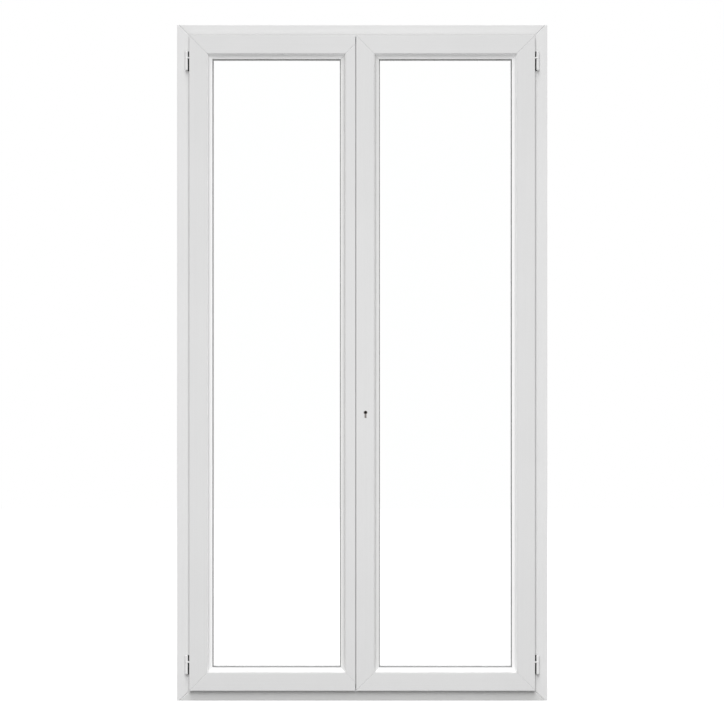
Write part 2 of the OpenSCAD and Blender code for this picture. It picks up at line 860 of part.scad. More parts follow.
module right_glazing_seal() {
    glazing_seal(RIGHT);
}

// Lip on the back of one side of a flange, as tall as the gap that it closes
module flange_lip(leaf, side, tip) {
    rect = leaf_rect(leaf);
    length = side_length(rect, side) - 2 * flange_seal_u;
    translate([0, leaf_front_y, 0]) along_side(rect, side) linear_extrude(length, center = true)
        polygon([
            [flange_seal_u, flange_t], [flange_seal_u + flange_seal_w, flange_t],
            [flange_seal_u + flange_seal_w, flange_t + tip / 2], [flange_seal_u + edge_r, flange_t + tip],
            [flange_seal_u, flange_t + tip / 2]]);
}

// The lips that press on the frame reach further, to its curved face
module frame_side_lips(leaf) {
    for (side = [hinge_side(leaf), "top", "bottom"])
        flange_lip(leaf, side, frame_seal_tip);
}

module left_flange_seal() {
    color(seal_grey) difference() {
        frame_side_lips(LEFT);
        meeting_step(step_x, back_y);
    }
}

module right_flange_seal() {
    color(seal_grey) {
        frame_side_lips(RIGHT);
        flange_lip(RIGHT, meeting_side(RIGHT), seal_tip);
    }
}

// Blocks that carry the glass clear of the profile
module packers(leaf) {
    rect = leaf_rect(leaf);
    unit_t = 2 * pane_t + cavity_t;
    color(packer_blue) for (side = ["left", "right", "top", "bottom"], end = [-1, 1]) {
        along = end * packer_share * glass_length(rect, side);
        translate([0, leaf_front_y, 0]) along_side(rect, side)
            translate([leaf_face_w, inner_pane_v, along - packer_l / 2]) cube([packer_t, unit_t, packer_l]);
    }
}

module left_packers() {
    packers(LEFT);
}

module right_packers() {
    packers(RIGHT);
}

// Stem of each leaf knuckle, in the flange's edge
module knuckle_stems(r, lead) {
    for (z = hinge_splits)
        translate([leaf_reach_x + lead, arm_y, z + knuckle_low + arm_h / 2])
            rotate([0, -90, 0]) cylinder(r = r, h = stem_reach + lead);
}

// Upper hinge halves: blind barrel on the pin, with a low arm to the flange's edge
module hinge_knuckles(leaf) {
    length = knuckle_h - knuckle_low;
    color(white_pvc) mirrored(leaf) {
        for (z = hinge_splits) translate([hinge_x, hinge_y, z + knuckle_low]) difference() {
            union() {
                barrel(length);
                translate([-axis_offset, arm_y - hinge_y - arm_t / 2, 0]) cube([axis_offset, arm_t, arm_h]);
            }
            translate([0, 0, -overrun])
                cylinder(r = pin_r + pin_gap, h = length - knuckle_cap_t + slide_gap + overrun);
        }
        knuckle_stems(stem_r, 0);
    }
}

module left_hinge_knuckles() {
    hinge_knuckles(LEFT);
}

module right_hinge_knuckles() {
    hinge_knuckles(RIGHT);
}

module cover_outline() {
    polygon(rounded([
        [cover_x0, leaf_back_y, edge_r], [mullion_face_x, leaf_back_y, 0],
        [mullion_face_x, upstand_front_y, 0], [cover_x1, upstand_front_y, edge_r],
        [cover_x1, back_y, cover_r], [cover_x0, back_y, cover_r]]));
}

// Profile on the left leaf's free edge: a wall for the keeps and a cover over the outside joint
module meeting_mullion() {
    wall_h = body_z1 - body_z0;
    slot_r = knob_r + slide_gap;
    color(white_pvc) difference() {
        union() {
            translate([left_edge_x, front_y, body_z0]) cube([mullion_wall_t, leaf_back_y - front_y, wall_h]);
            translate([0, 0, cover_z0]) linear_extrude(cover_z1 - cover_z0) difference() {
                cover_outline();
                rect_section(cover_x0 + wall_t, upstand_front_y + wall_t, cover_x1 - wall_t, back_y - wall_t);
            }
        }
        for (z = [upper_knob_z, lower_knob_z - bolt_travel])
            translate([left_edge_x - overrun, groove_y - slot_r, z - slot_r])
                cube([mullion_wall_t + 2 * overrun, 2 * slot_r, bolt_travel + 2 * slot_r]);
        at_lock_keep_screws() screw_hole(lock_keep_screw_l);
    }
}

// Lids on both ends of the hollow cover
module mullion_end_caps() {
    color(white_pvc) for (z = [cover_z0 - cover_cap_t, cover_z1])
        translate([0, 0, z]) linear_extrude(cover_cap_t) cover_outline();
}

// Lip on the cover that the right leaf's back closes on
module mullion_seal() {
    x0 = right_edge_x + edge_r;
    color(seal_grey) translate([0, 0, cover_z0]) linear_extrude(cover_z1 - cover_z0) polygon([
        [x0, upstand_front_y], [x0 + rebate_seal_w, upstand_front_y],
        [x0 + rebate_seal_w, upstand_front_y - seal_tip / 2],
        [x0 + rebate_seal_w / 2, upstand_front_y - seal_tip], [x0, upstand_front_y - seal_tip / 2]]);
}

// Plates on the mullion whose front lips hold the cams once these have moved
module lock_keeps() {
    color(steel_grey) difference() {
        union() {
            for (z = upper_cams) lock_keep(z, 1);
            for (z = lower_cams) lock_keep(z, -1);
        }
        at_lock_keep_screws() screw_hole(lock_keep_screw_l);
    }
}

module lock_keep(cam_z, way) {
    lip_z = cam_z + way * (bolt_travel + cam_r - lip_h / 2 + edge_r);
    translate([mullion_face_x, front_y, cam_z + way * bolt_travel / 2 - keep_plate_l / 2])
        cube([keep_t, keep_plate_d, keep_plate_l]);
    translate([mullion_face_x, front_y, lip_z - lip_h / 2]) cube([2 * keep_t + cam_r, lip_t, lip_h]);
}

module lock_keep_screws() {
    color(steel_grey) at_lock_keep_screws() countersunk_screw(lock_keep_screw_l);
}

// Flat bolt in the left leaf's groove with a thumb knob through the mullion
module flush_bolt(z0, knob_z) {
    color(steel_grey) {
        translate([bolt_x, groove_y - bar_w / 2, z0]) cube([bar_t, bar_w, bolt_l]);
        translate([bolt_x + bar_t / 2, groove_y, knob_z]) rotate([0, 90, 0])
            cylinder(r = knob_r, h = knob_tip_x - bolt_x - bar_t / 2);
    }
}

module upper_flush_bolt() {
    flush_bolt(rod_top - bolt_l, upper_knob_z);
}

module lower_flush_bolt() {
    flush_bolt(rod_bottom, lower_knob_z);
}

module rod_notch(z0) {
    translate([case_x - overrun, groove_y - channel_w / 2, z0])
        cube([overrun + bar_t + 2 * slide_gap, channel_w, tongue_h + bar_t]);
}

// Gear case of the key-driven lock, with an open notch at each end for a rod
module lock_case() {
    color(steel_grey) difference() {
        translate([case_x, case_y, case_z0]) cube([case_w, case_d, case_h]);
        rod_notch(case_z1 - tongue_h - bar_t);
        rod_notch(case_z0);
        translate([keyhole_x, case_y - overrun, keyhole_z]) rotate([-90, 0, 0])
            cylinder(r = plug_r + fit_gap, h = case_d / 2 + overrun);
    }
}

// Strip that closes the groove, slotted where the cams run
module lock_faceplate() {
    z0 = body_z0 + plate_end_gap;
    z1 = body_z1 - plate_end_gap;
    slot_w = cam_r + fit_gap;
    color(steel_grey) difference() {
        translate([case_x - plate_t, groove_y - plate_w / 2, z0]) cube([plate_t, plate_w, z1 - z0]);
        for (z = concat(upper_cams, [for (z = lower_cams) z - bolt_travel]))
            translate([case_x - plate_t - overrun, groove_y - slot_w, z - slot_w])
                cube([plate_t + 2 * overrun, 2 * slot_w, bolt_travel + 2 * slot_w]);
    }
}

// Keyhole-shaped cylinder set back behind the stile's face
module lock_cylinder() {
    color(steel_grey) difference() {
        keyhole_prism(0, leaf_front_y + cylinder_setback, case_y);
        translate([keyhole_x, leaf_front_y, keyhole_z]) rotate([-90, 0, 0])
            cylinder(r = plug_r + pin_gap, h = case_y - leaf_front_y + overrun);
    }
}

module cylinder_plug() {
    y0 = leaf_front_y + plug_setback;
    length = case_y + case_d / 2 - slide_gap - y0;
    color(steel_grey) translate([keyhole_x, y0, keyhole_z]) difference() {
        rotate([-90, 0, 0]) cylinder(r = plug_r, h = length);
        translate([-key_slot_w / 2, -overrun, -key_slot_share * plug_r])
            cube([key_slot_w, length / 2 + overrun, 2 * key_slot_share * plug_r]);
    }
}

// Flat rod behind the faceplate with its locking cams
module lock_rod(z0, z1, cams) {
    color(steel_grey) {
        translate([rod_x, groove_y - bar_w / 2, z0]) cube([bar_t, bar_w, z1 - z0]);
        for (z = cams) translate([cam_tip_x, groove_y, z]) rotate([0, 90, 0])
            cylinder(r = cam_r, h = rod_x + bar_t / 2 - cam_tip_x);
    }
}

module upper_lock_rod() {
    lock_rod(upper_rod_z0, rod_top, upper_cams);
}

module lower_lock_rod() {
    lock_rod(rod_bottom, lower_rod_z1, lower_cams);
}

frame_head();
frame_sill();
frame_left_jamb();
frame_right_jamb();
frame_steels();
frame_seal();
hinge_posts();
hinge_shims();
hinge_pins();
hinge_washers();
bolt_keeps();
bolt_keep_screws();
drain_caps();
left_top_rail();
left_bottom_rail();
left_hinge_stile();
left_meeting_stile();
left_leaf_steels();
left_top_bead();
left_bottom_bead();
left_hinge_bead();
left_meeting_bead();
left_inner_pane();
left_outer_pane();
left_spacer();
left_bead_seal();
left_glazing_seal();
left_flange_seal();
left_packers();
left_hinge_knuckles();
meeting_mullion();
mullion_end_caps();
mullion_seal();
lock_keeps();
lock_keep_screws();
upper_flush_bolt();
lower_flush_bolt();
right_top_rail();
right_bottom_rail();
right_hinge_stile();
right_meeting_stile();
right_leaf_steels();
right_top_bead();
right_bottom_bead();
right_hinge_bead();
right_meeting_bead();
right_inner_pane();
right_outer_pane();
right_spacer();
right_bead_seal();
right_glazing_seal();
right_flange_seal();
right_packers();
right_hinge_knuckles();
lock_case();
lock_faceplate();
lock_cylinder();
cylinder_plug();
upper_lock_rod();
lower_lock_rod();
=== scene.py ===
import json
from math import radians

import bmesh
import bpy
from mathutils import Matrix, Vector


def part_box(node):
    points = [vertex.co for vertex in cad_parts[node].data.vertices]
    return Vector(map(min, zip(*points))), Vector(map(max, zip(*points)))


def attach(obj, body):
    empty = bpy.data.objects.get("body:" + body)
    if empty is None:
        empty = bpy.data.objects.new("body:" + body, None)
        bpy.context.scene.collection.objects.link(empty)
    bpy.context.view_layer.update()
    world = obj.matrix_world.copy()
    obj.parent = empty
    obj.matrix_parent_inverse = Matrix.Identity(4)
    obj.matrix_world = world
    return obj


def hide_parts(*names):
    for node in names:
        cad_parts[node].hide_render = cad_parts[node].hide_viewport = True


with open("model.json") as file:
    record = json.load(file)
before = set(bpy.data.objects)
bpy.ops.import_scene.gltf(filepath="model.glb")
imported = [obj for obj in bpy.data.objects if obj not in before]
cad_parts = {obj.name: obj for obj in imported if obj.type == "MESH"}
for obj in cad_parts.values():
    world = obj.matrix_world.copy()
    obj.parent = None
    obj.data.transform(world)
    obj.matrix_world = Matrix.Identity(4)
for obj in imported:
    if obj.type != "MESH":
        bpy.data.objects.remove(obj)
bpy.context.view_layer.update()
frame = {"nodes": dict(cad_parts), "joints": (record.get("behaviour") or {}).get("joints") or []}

bpy.ops.object.select_all(action="DESELECT")

# Frame: two jambs, a head and a sill, drawn as hollow white plastic profiles, cut at 45 degrees and
# welded at the corners. The die leaves faint lines along every length and dust lies on the ledges. The
# sill is painted greyer than jambs and head, as painted shade for the shadow under the leaves' flanges.


def start_effect(name, inputs, outputs):
    group = bpy.data.node_groups.new(name, "ShaderNodeTree")
    for way, sockets in (("INPUT", inputs), ("OUTPUT", outputs)):
        for socket, kind in sockets.items():
            group.interface.new_socket(socket, in_out=way, socket_type=f"NodeSocket{kind}")
    return group, group.nodes.new("NodeGroupInput"), group.nodes.new("NodeGroupOutput")


def piece_place(tree):
    return tree.nodes.new("ShaderNodeTexCoord").outputs["Object"]


def mottle(tree, place, scale, detail=2.0):
    noise = tree.nodes.new("ShaderNodeTexNoise")
    noise.inputs["Scale"].default_value = scale
    noise.inputs["Detail"].default_value = detail
    tree.links.new(place, noise.inputs["Vector"])
    return noise.outputs["Fac"]


def spread_values(tree, value, from_span=(0.0, 1.0), to_span=(0.0, 1.0)):
    spread = tree.nodes.new("ShaderNodeMapRange")
    spread.inputs["From Min"].default_value = from_span[0]
    spread.inputs["From Max"].default_value = from_span[1]
    spread.inputs["To Min"].default_value = to_span[0]
    spread.inputs["To Max"].default_value = to_span[1]
    tree.links.new(value, spread.inputs["Value"])
    return spread.outputs["Result"]


def combine(tree, operation, first, second):
    joined = tree.nodes.new("ShaderNodeMath")
    joined.operation = operation
    tree.links.new(first, joined.inputs[0])
    tree.links.new(second, joined.inputs[1])
    return joined.outputs[0]


drawn_lines, lines_in, lines_out = start_effect(
    "drawn_lines", {"Along": "Vector", "Colour": "Color", "Line Depth": "Float"},
    {"Colour": "Color", "Roughness": "Float", "Height": "Float"})
die_lines = mottle(drawn_lines, lines_in.outputs["Along"], scale=1.0, detail=3.0)
haze = mottle(drawn_lines, piece_place(drawn_lines), scale=4.0, detail=4.0)
lines_and_haze = combine(drawn_lines, "ADD", die_lines, haze)
usual_span, shade_span, sheen_span = (0.7, 1.3), (0.98, 1.01), (0.30, 0.42)
shade = spread_values(drawn_lines, lines_and_haze, usual_span, shade_span)
tinted = drawn_lines.nodes.new("ShaderNodeVectorMath")
tinted.operation = "SCALE"
drawn_lines.links.new(lines_in.outputs["Colour"], tinted.inputs[0])
drawn_lines.links.new(shade, tinted.inputs["Scale"])
drawn_lines.links.new(tinted.outputs["Vector"], lines_out.inputs["Colour"])
sheen = spread_values(drawn_lines, lines_and_haze, usual_span, sheen_span)
drawn_lines.links.new(sheen, lines_out.inputs["Roughness"])
line_height = combine(drawn_lines, "MULTIPLY", die_lines, lines_in.outputs["Line Depth"])
drawn_lines.links.new(line_height, lines_out.inputs["Height"])


def upward_share(tree):
    facing = tree.nodes.new("ShaderNodeNewGeometry")
    split = tree.nodes.new("ShaderNodeSeparateXYZ")
    tree.links.new(facing.outputs["Normal"], split.inputs["Vector"])
    return split.outputs["Z"]


def laid_over(tree, share, under, over):
    mixed = tree.nodes.new("ShaderNodeMix")
    mixed.data_type = "RGBA"
    mixed.inputs["B"].default_value = over
    tree.links.new(share, mixed.inputs["Factor"])
    tree.links.new(under, mixed.inputs["A"])
    return mixed.outputs["Result"]


ledge_dust, dust_in, dust_out = start_effect(
    "ledge_dust", {"Colour": "Color", "Roughness": "Float", "Cover": "Float"},
    {"Colour": "Color", "Roughness": "Float"})
ledge_span, patch_span, dust_colour = (0.55, 0.95), (0.35, 0.7), (0.45, 0.43, 0.40, 1.0)
on_ledge = spread_values(ledge_dust, upward_share(ledge_dust), ledge_span)
specks = mottle(ledge_dust, piece_place(ledge_dust), scale=45.0, detail=6.0)
patchy = spread_values(ledge_dust, specks, patch_span)
lying = combine(ledge_dust, "MULTIPLY", on_ledge, patchy)
covered = combine(ledge_dust, "MULTIPLY", lying, dust_in.outputs["Cover"])
dusted = laid_over(ledge_dust, covered, dust_in.outputs["Colour"], dust_colour)
ledge_dust.links.new(dusted, dust_out.inputs["Colour"])
duller = combine(ledge_dust, "ADD", dust_in.outputs["Roughness"], covered)
ledge_dust.links.new(duller, dust_out.inputs["Roughness"])


def start_finish(name):
    finish = bpy.data.materials.new(name)
    finish.use_nodes = True
    return finish, finish.node_tree, finish.node_tree.nodes["Principled BSDF"]


def profile_finish(name, stretch, colour, line_depth=0.25, line_relief=0.0001, dust_cover=0.3):
    profile, tree, shader = start_finish(name)
    shader.inputs["IOR"].default_value = 1.5
    along = tree.nodes.new("ShaderNodeMapping")
    along.inputs["Scale"].default_value = stretch
    tree.links.new(piece_place(tree), along.inputs["Vector"])
    surface = tree.nodes.new("ShaderNodeGroup")
    surface.node_tree = drawn_lines
    surface.inputs["Colour"].default_value = colour
    surface.inputs["Line Depth"].default_value = line_depth
    tree.links.new(along.outputs["Vector"], surface.inputs["Along"])
    dust = tree.nodes.new("ShaderNodeGroup")
    dust.node_tree = ledge_dust
    dust.inputs["Cover"].default_value = dust_cover
    tree.links.new(surface.outputs["Colour"], dust.inputs["Colour"])
    tree.links.new(surface.outputs["Roughness"], dust.inputs["Roughness"])
    relief = tree.nodes.new("ShaderNodeBump")
    relief.inputs["Distance"].default_value = line_relief
    tree.links.new(surface.outputs["Height"], relief.inputs["Height"])
    tree.links.new(dust.outputs["Colour"], shader.inputs["Base Color"])
    tree.links.new(dust.outputs["Roughness"], shader.inputs["Roughness"])
    tree.links.new(relief.outputs["Normal"], shader.inputs["Normal"])
    return profile


def coat(names, finish):
    for name in names:
        frame["nodes"][name].data.materials.clear()
        frame["nodes"][name].data.materials.append(finish)


upright_lines, level_lines = (500.0, 500.0, 3.0), (3.0, 500.0, 500.0)
# The sill's grey is painted shade: a darker copy of the frame white, standing for the flanges' shadow.
frame_white, sill_painted_shade = (0.79, 0.79, 0.79, 1.0), (0.70, 0.70, 0.695, 1.0)
coat(("frame_left_jamb", "frame_right_jamb"), profile_finish("upright_frame", upright_lines, frame_white))
coat(("frame_head",), profile_finish("level_frame", level_lines, frame_white))
coat(("frame_sill",), profile_finish("shaded_sill", level_lines, sill_painted_shade))

# Steel: bent channels slid into the chambers of frame and leaves to stiffen them, dipped in molten zinc
# that sets in pale crystals which differ a little in tone.


def shade_between(tree, value, dark, light, stops=(0.0, 1.0)):
    ramp = tree.nodes.new("ShaderNodeValToRGB")
    for element, stop, colour in zip(ramp.color_ramp.elements, stops, (dark, light)):
        element.position = stop
        element.color = colour
    tree.links.new(value, ramp.inputs["Fac"])
    return ramp.outputs["Color"]


zinc_dark, zinc_light, zinc_rough = (0.50, 0.51, 0.52, 1.0), (0.66, 0.67, 0.68, 1.0), (0.30, 0.46)
zinc, tree, shader = start_finish("zinc_plating")
shader.inputs["Metallic"].default_value = 1.0
crystals = tree.nodes.new("ShaderNodeTexVoronoi")
crystals.inputs["Scale"].default_value = 220.0
tree.links.new(piece_place(tree), crystals.inputs["Vector"])
zinc_tone = shade_between(tree, crystals.outputs["Color"], zinc_dark, zinc_light)
tree.links.new(zinc_tone, shader.inputs["Base Color"])
zinc_rub = spread_values(tree, crystals.outputs["Color"], to_span=zinc_rough)
tree.links.new(zinc_rub, shader.inputs["Roughness"])
coat(("frame_steels", "left_leaf_steels", "right_leaf_steels"), zinc)

# Frame seal: a grey rubber lip pushed into the rebate, which the backs of the leaves close on. Rubber is
# dull, with a faint bloom on it. Undersides are painted pale grey as painted light, lifting their shade.


def rubber_with_painted_light(name, dark, light, underside_painted_light=(0.70, 0.70, 0.69, 1.0), rough=(0.5, 0.72)):
    rubber, tree, shader = start_finish(name)
    bloom = mottle(tree, piece_place(tree), scale=60.0, detail=5.0)
    # Painted light: faces turned downwards are mixed towards pale grey to lift the shade under them.
    underside_light_mask = spread_values(tree, upward_share(tree), (-0.05, -0.6))
    tone = laid_over(tree, underside_light_mask, shade_between(tree, bloom, dark, light), underside_painted_light)
    tree.links.new(tone, shader.inputs["Base Color"])
    tree.links.new(spread_values(tree, bloom, to_span=rough), shader.inputs["Roughness"])
    return rubber


rubber = rubber_with_painted_light("seal_rubber", (0.07, 0.071, 0.072, 1.0), (0.10, 0.101, 0.102, 1.0))
pale_rubber = rubber_with_painted_light("pale_seal_rubber", (0.55, 0.55, 0.55, 1.0), (0.62, 0.62, 0.62, 1.0))
coat(("frame_seal",), rubber)

# Hinge posts: the lower halves of four hinges, die-cast in zinc and lacquered white. Each is a barrel
# bored for the pin, with a neck down to the jamb and two stems that are driven into it.
lacquer_dark, lacquer_light = (0.82, 0.82, 0.82, 1.0), (0.88, 0.88, 0.88, 1.0)
lacquer_rough, peel_relief, peel_strength = (0.22, 0.36), 0.00001, 0.3
lacquer, tree, shader = start_finish("hinge_lacquer")
peel = mottle(tree, piece_place(tree), scale=900.0)
tree.links.new(shade_between(tree, peel, lacquer_dark, lacquer_light), shader.inputs["Base Color"])
tree.links.new(spread_values(tree, peel, to_span=lacquer_rough), shader.inputs["Roughness"])
relief = tree.nodes.new("ShaderNodeBump")
relief.inputs["Distance"].default_value = peel_relief
relief.inputs["Strength"].default_value = peel_strength
tree.links.new(peel, relief.inputs["Height"])
tree.links.new(relief.outputs["Normal"], shader.inputs["Normal"])


def pick(piece, kind, wanted):
    bpy.ops.mesh.select_mode(type=kind)
    bpy.ops.mesh.select_all(action="DESELECT")
    shape = bmesh.from_edit_mesh(piece.data)
    for part in shape.faces if kind == "FACE" else shape.edges:
        spots = [part.calc_center_median()] if kind == "FACE" else [corner.co for corner in part.verts]
        part.select_set(all(wanted(spot) for spot in spots))
    bmesh.update_edit_mesh(piece.data)


def near(a, b, slack=0.00002):
    return abs(a - b) < slack


def start_box(low, high):
    bpy.ops.mesh.primitive_cube_add(size=1.0, location=(low + high) / 2)
    piece = bpy.context.object
    piece.scale = high - low
    bpy.ops.object.transform_apply(location=True, rotation=False, scale=True)
    bpy.ops.object.mode_set(mode="EDIT")
    return piece


def start_round(radius, low, high, axis=2, sides=40):
    middle = (Vector(low) + Vector(high)) / 2
    length = (Vector(high) - Vector(low)).length
    quarter = radians(90.0)
    turn = ((0.0, quarter, 0.0), (quarter, 0.0, 0.0), (0.0, 0.0, 0.0))[axis]
    bpy.ops.mesh.primitive_cylinder_add(
        vertices=sides, radius=radius, depth=length, location=middle, rotation=turn)
    piece = bpy.context.object
    bpy.ops.object.transform_apply(location=True, rotation=True, scale=True)
    bpy.ops.object.mode_set(mode="EDIT")
    return piece


def round_edges(piece, size, steps, wanted, profile=0.5):
    pick(piece, "EDGE", wanted)
    bpy.ops.mesh.bevel(offset=size, segments=steps, profile=profile, affect="EDGES")


def cut_line(point, way):
    bpy.ops.mesh.select_all(action="SELECT")
    bpy.ops.mesh.bisect(plane_co=point, plane_no=way)


def extrude(move):
    bpy.ops.mesh.extrude_region_move(TRANSFORM_OT_translate={"value": move})


def finish_shape(piece, crease=35.0):
    bpy.ops.mesh.select_all(action="SELECT")
    bpy.ops.mesh.normals_make_consistent(inside=False)
    bpy.ops.object.mode_set(mode="OBJECT")
    bpy.ops.object.shade_smooth_by_angle(angle=radians(crease))


def gather(name, pieces):
    bpy.ops.object.select_all(action="DESELECT")
    for piece in pieces:
        piece.select_set(True)
    bpy.context.view_layer.objects.active = pieces[0]
    bpy.ops.object.join()
    whole = bpy.context.object
    whole.name = name
    bpy.ops.object.select_all(action="DESELECT")
    return whole


def copy_moved(piece, move, flip=False, merge_gap=0.000001):
    bpy.ops.object.select_all(action="DESELECT")
    piece.select_set(True)
    bpy.context.view_layer.objects.active = piece
    bpy.ops.object.duplicate()
    twin = bpy.context.object
    bpy.ops.object.mode_set(mode="EDIT")
    bpy.ops.mesh.select_all(action="SELECT")
    bpy.ops.transform.translate(value=move)
    if flip:
        bpy.ops.transform.resize(value=(-1.0, 1.0, 1.0), center_override=(0.0, 0.0, 0.0))
        bpy.ops.mesh.remove_doubles(threshold=merge_gap)
        bpy.ops.mesh.normals_make_consistent(inside=False)
    bpy.ops.object.mode_set(mode="OBJECT")
    return twin


hinge_axis = Vector(next(joint["pos_m"] for joint in frame["joints"] if joint["name"] == "left_leaf_swing"))
post_low, post_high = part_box("hinge_posts")
washer_low, washer_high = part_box("hinge_washers")
jamb_face_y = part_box("frame_left_jamb")[0].y
washer_t = 0.001
hinge_rise = washer_high.z - washer_low.z - washer_t
barrel_r, pin_hole_r, tip_round = 0.005, 0.00275, 0.002
cap_line, cap_line_half, cap_line_squeeze = 0.0045, 0.0003, 0.93
neck_half, neck_round = 0.003, 0.0008
stem_r, stem_sides, stem_shares = 0.0025, 24, (0.22, 0.78)


def cast_barrel(tip, mouth, bore_deep):
    way = 1.0 if mouth.z > tip.z else -1.0
    barrel = start_round(barrel_r, tip, mouth)
    round_edges(barrel, tip_round, 5, lambda spot: near(spot.z, tip.z))
    for offset in (-cap_line_half, 0.0, cap_line_half):
        cut_line(tip + Vector((0.0, 0.0, way * (cap_line + offset))), (0.0, 0.0, 1.0))
    pick(barrel, "EDGE", lambda spot: near(spot.z, tip.z + way * cap_line))
    bpy.ops.transform.resize(value=(cap_line_squeeze, cap_line_squeeze, 1.0), center_override=tip)
    pick(barrel, "FACE", lambda spot: near(spot.z, mouth.z))
    bpy.ops.mesh.inset(thickness=barrel_r - pin_hole_r)
    extrude((0.0, 0.0, -way * bore_deep))
    finish_shape(barrel)
    return barrel


def driven_stem(root, tip, axis):
    stem = start_round(stem_r, root, tip, axis, stem_sides)
    round_edges(stem, neck_round, 2, lambda spot: near(spot[axis], tip[axis]))
    finish_shape(stem)
    return stem


foot = Vector((hinge_axis.x, hinge_axis.y, post_low.z))
crown = Vector((hinge_axis.x, hinge_axis.y, washer_low.z))
post_h = crown.z - foot.z
post = cast_barrel(foot, crown, post_h - tip_round - cap_line)
neck_front_y, neck_low_z = hinge_axis.y + pin_hole_r + neck_round, foot.z + tip_round
neck = start_box(Vector((hinge_axis.x - neck_half, neck_front_y, neck_low_z)),
                 Vector((hinge_axis.x + neck_half, jamb_face_y, crown.z)))
round_edges(neck, neck_round, 2, lambda spot: near(spot.y, jamb_face_y) or near(spot.z, neck_low_z))
finish_shape(neck)
post_parts = [post, neck]
for share in stem_shares:
    stem_z = foot.z + share * post_h
    stem_root, stem_tip = (hinge_axis.x, jamb_face_y, stem_z), (hinge_axis.x, post_high.y, stem_z)
    post_parts.append(driven_stem(stem_root, stem_tip, axis=1))
lower_half = gather("cast_hinge_posts", post_parts)
lower_half = gather("cast_hinge_posts", [
    lower_half,
    copy_moved(lower_half, (0.0, 0.0, hinge_rise)),
    copy_moved(lower_half, (0.0, 0.0, 0.0), flip=True),
    copy_moved(lower_half, (0.0, 0.0, hinge_rise), flip=True)])
lower_half.data.materials.append(lacquer)
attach(lower_half, "frame")
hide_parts("hinge_posts")

# Hinge pins, washers and pads: hard steel pins that the leaves turn on, white nylon washers between the
# halves, and moulded pads on the jambs that fill the gap beside each barrel, near-black as painted shade.


def grained_finish(name, scale, dark, light, rough=None, levels=()):
    finish, tree, shader = start_finish(name)
    for socket, level in levels:
        shader.inputs[socket].default_value = level
    grain = mottle(tree, piece_place(tree), scale)
    tree.links.new(shade_between(tree, grain, dark, light), shader.inputs["Base Color"])
    if rough:
        tree.links.new(spread_values(tree, grain, to_span=rough), shader.inputs["Roughness"])
    return finish


nylon_dark, nylon_light = (0.74, 0.735, 0.71, 1.0), (0.80, 0.795, 0.775, 1.0)
# Painted shade: the pads are near-black so that the gap beside each barrel reads as shade.
shade_pad_dark, shade_pad_light, pad_rough = (0.004, 0.004, 0.004, 1.0), (0.009, 0.009, 0.009, 1.0), (0.6, 0.8)
nylon = grained_finish("white_nylon", 500.0, nylon_dark, nylon_light)
black = grained_finish("shade_black_pad", 400.0, shade_pad_dark, shade_pad_light, pad_rough, (("Specular IOR Level", 0.2),))
coat(("hinge_washers",), nylon)
coat(("hinge_pins",), zinc)
coat(("hinge_shims",), black)

# Bolt keeps: pressed plates screwed over the sockets in head and sill, which rods and bolts shoot into.
# They are bright zinc plated like all the hardware, with a fine uneven grain from the pressing.


def plated_finish(name, dark, light):
    return grained_finish(name, 600.0, dark, light, zinc_rough, (("Metallic", 1.0),))


bright_zinc = plated_finish("bright_zinc", (0.50, 0.51, 0.52, 1.0), (0.60, 0.61, 0.62, 1.0))
coat(("bolt_keeps", "bolt_keep_screws"), bright_zinc)

# Drain caps: two moulded covers clipped over the sill's drain slots on the outside, each with rounded
# corners and an open mouth underneath that lets water out and keeps wind from blowing in.


def start_plate(low, high, face_y):
    middle = (low + high) / 2
    bpy.ops.mesh.primitive_plane_add(
        size=1.0, location=(middle.x, face_y, middle.z), rotation=(radians(90.0), 0.0, 0.0))
    piece = bpy.context.object
    piece.scale = (high.x - low.x, high.z - low.z, 1.0)
    bpy.ops.object.transform_apply(location=True, rotation=True, scale=True)
    bpy.ops.object.mode_set(mode="EDIT")
    return piece


cap_low, cap_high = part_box("drain_caps")
cap_w, cap_corner, cap_rim, cap_wall, mouth_deep = 0.042, 0.0025, 0.0009, 0.0012, 0.004
moulded = profile_finish("moulded_caps", level_lines, frame_white)
drain_cap = start_plate(cap_low, Vector((cap_low.x + cap_w, cap_high.y, cap_high.z)), cap_low.y)
bpy.ops.mesh.select_all(action="SELECT")
bpy.ops.mesh.bevel(offset=cap_corner, segments=5, affect="VERTICES")
bpy.ops.mesh.select_all(action="SELECT")
extrude((0.0, cap_high.y - cap_low.y, 0.0))
round_edges(drain_cap, cap_rim, 3, lambda spot: near(spot.y, cap_high.y))
pick(drain_cap, "FACE", lambda spot: near(spot.z, cap_low.z))
bpy.ops.mesh.inset(thickness=cap_wall)
extrude((0.0, 0.0, mouth_deep))
finish_shape(drain_cap)
second_cap = copy_moved(drain_cap, (cap_high.x - cap_low.x - cap_w, 0.0, 0.0))
caps = gather("moulded_drain_caps", [drain_cap, second_cap])
caps.data.materials.append(moulded)
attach(caps, "frame")
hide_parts("drain_caps")

# Leaves: each a welded ring of two stiles and two rails, drawn as hollow white plastic, with a rounded
# flange that laps over the frame and a leg behind the glass. A dark rubber seal lies under the flange, and a
# pale one on the leg.
leaf_white = (0.755, 0.755, 0.755, 1.0)
upright_leaf = profile_finish("upright_leaf", upright_lines, leaf_white)
level_leaf = profile_finish("level_leaf", level_lines, leaf_white)
for side in ("left", "right"):
    coat((f"{side}_hinge_stile", f"{side}_meeting_stile"), upright_leaf)
    coat((f"{side}_top_rail", f"{side}_bottom_rail"), level_leaf)
    coat((f"{side}_flange_seal",), rubber)
    coat((f"{side}_glazing_seal",), pale_rubber)

# Glass: two clear float panes to a leaf, held apart by the spacer bar as one sealed unit. They are wiped
# clean but for a faint film, and daylight passes through them.


def ray_share(tree, kinds):
    path = tree.nodes.new("ShaderNodeLightPath")
    chosen = path.outputs[kinds[0]]
    for kind in kinds[1:]:
        chosen = combine(tree, "MAXIMUM", chosen, path.outputs[kind])
    return chosen


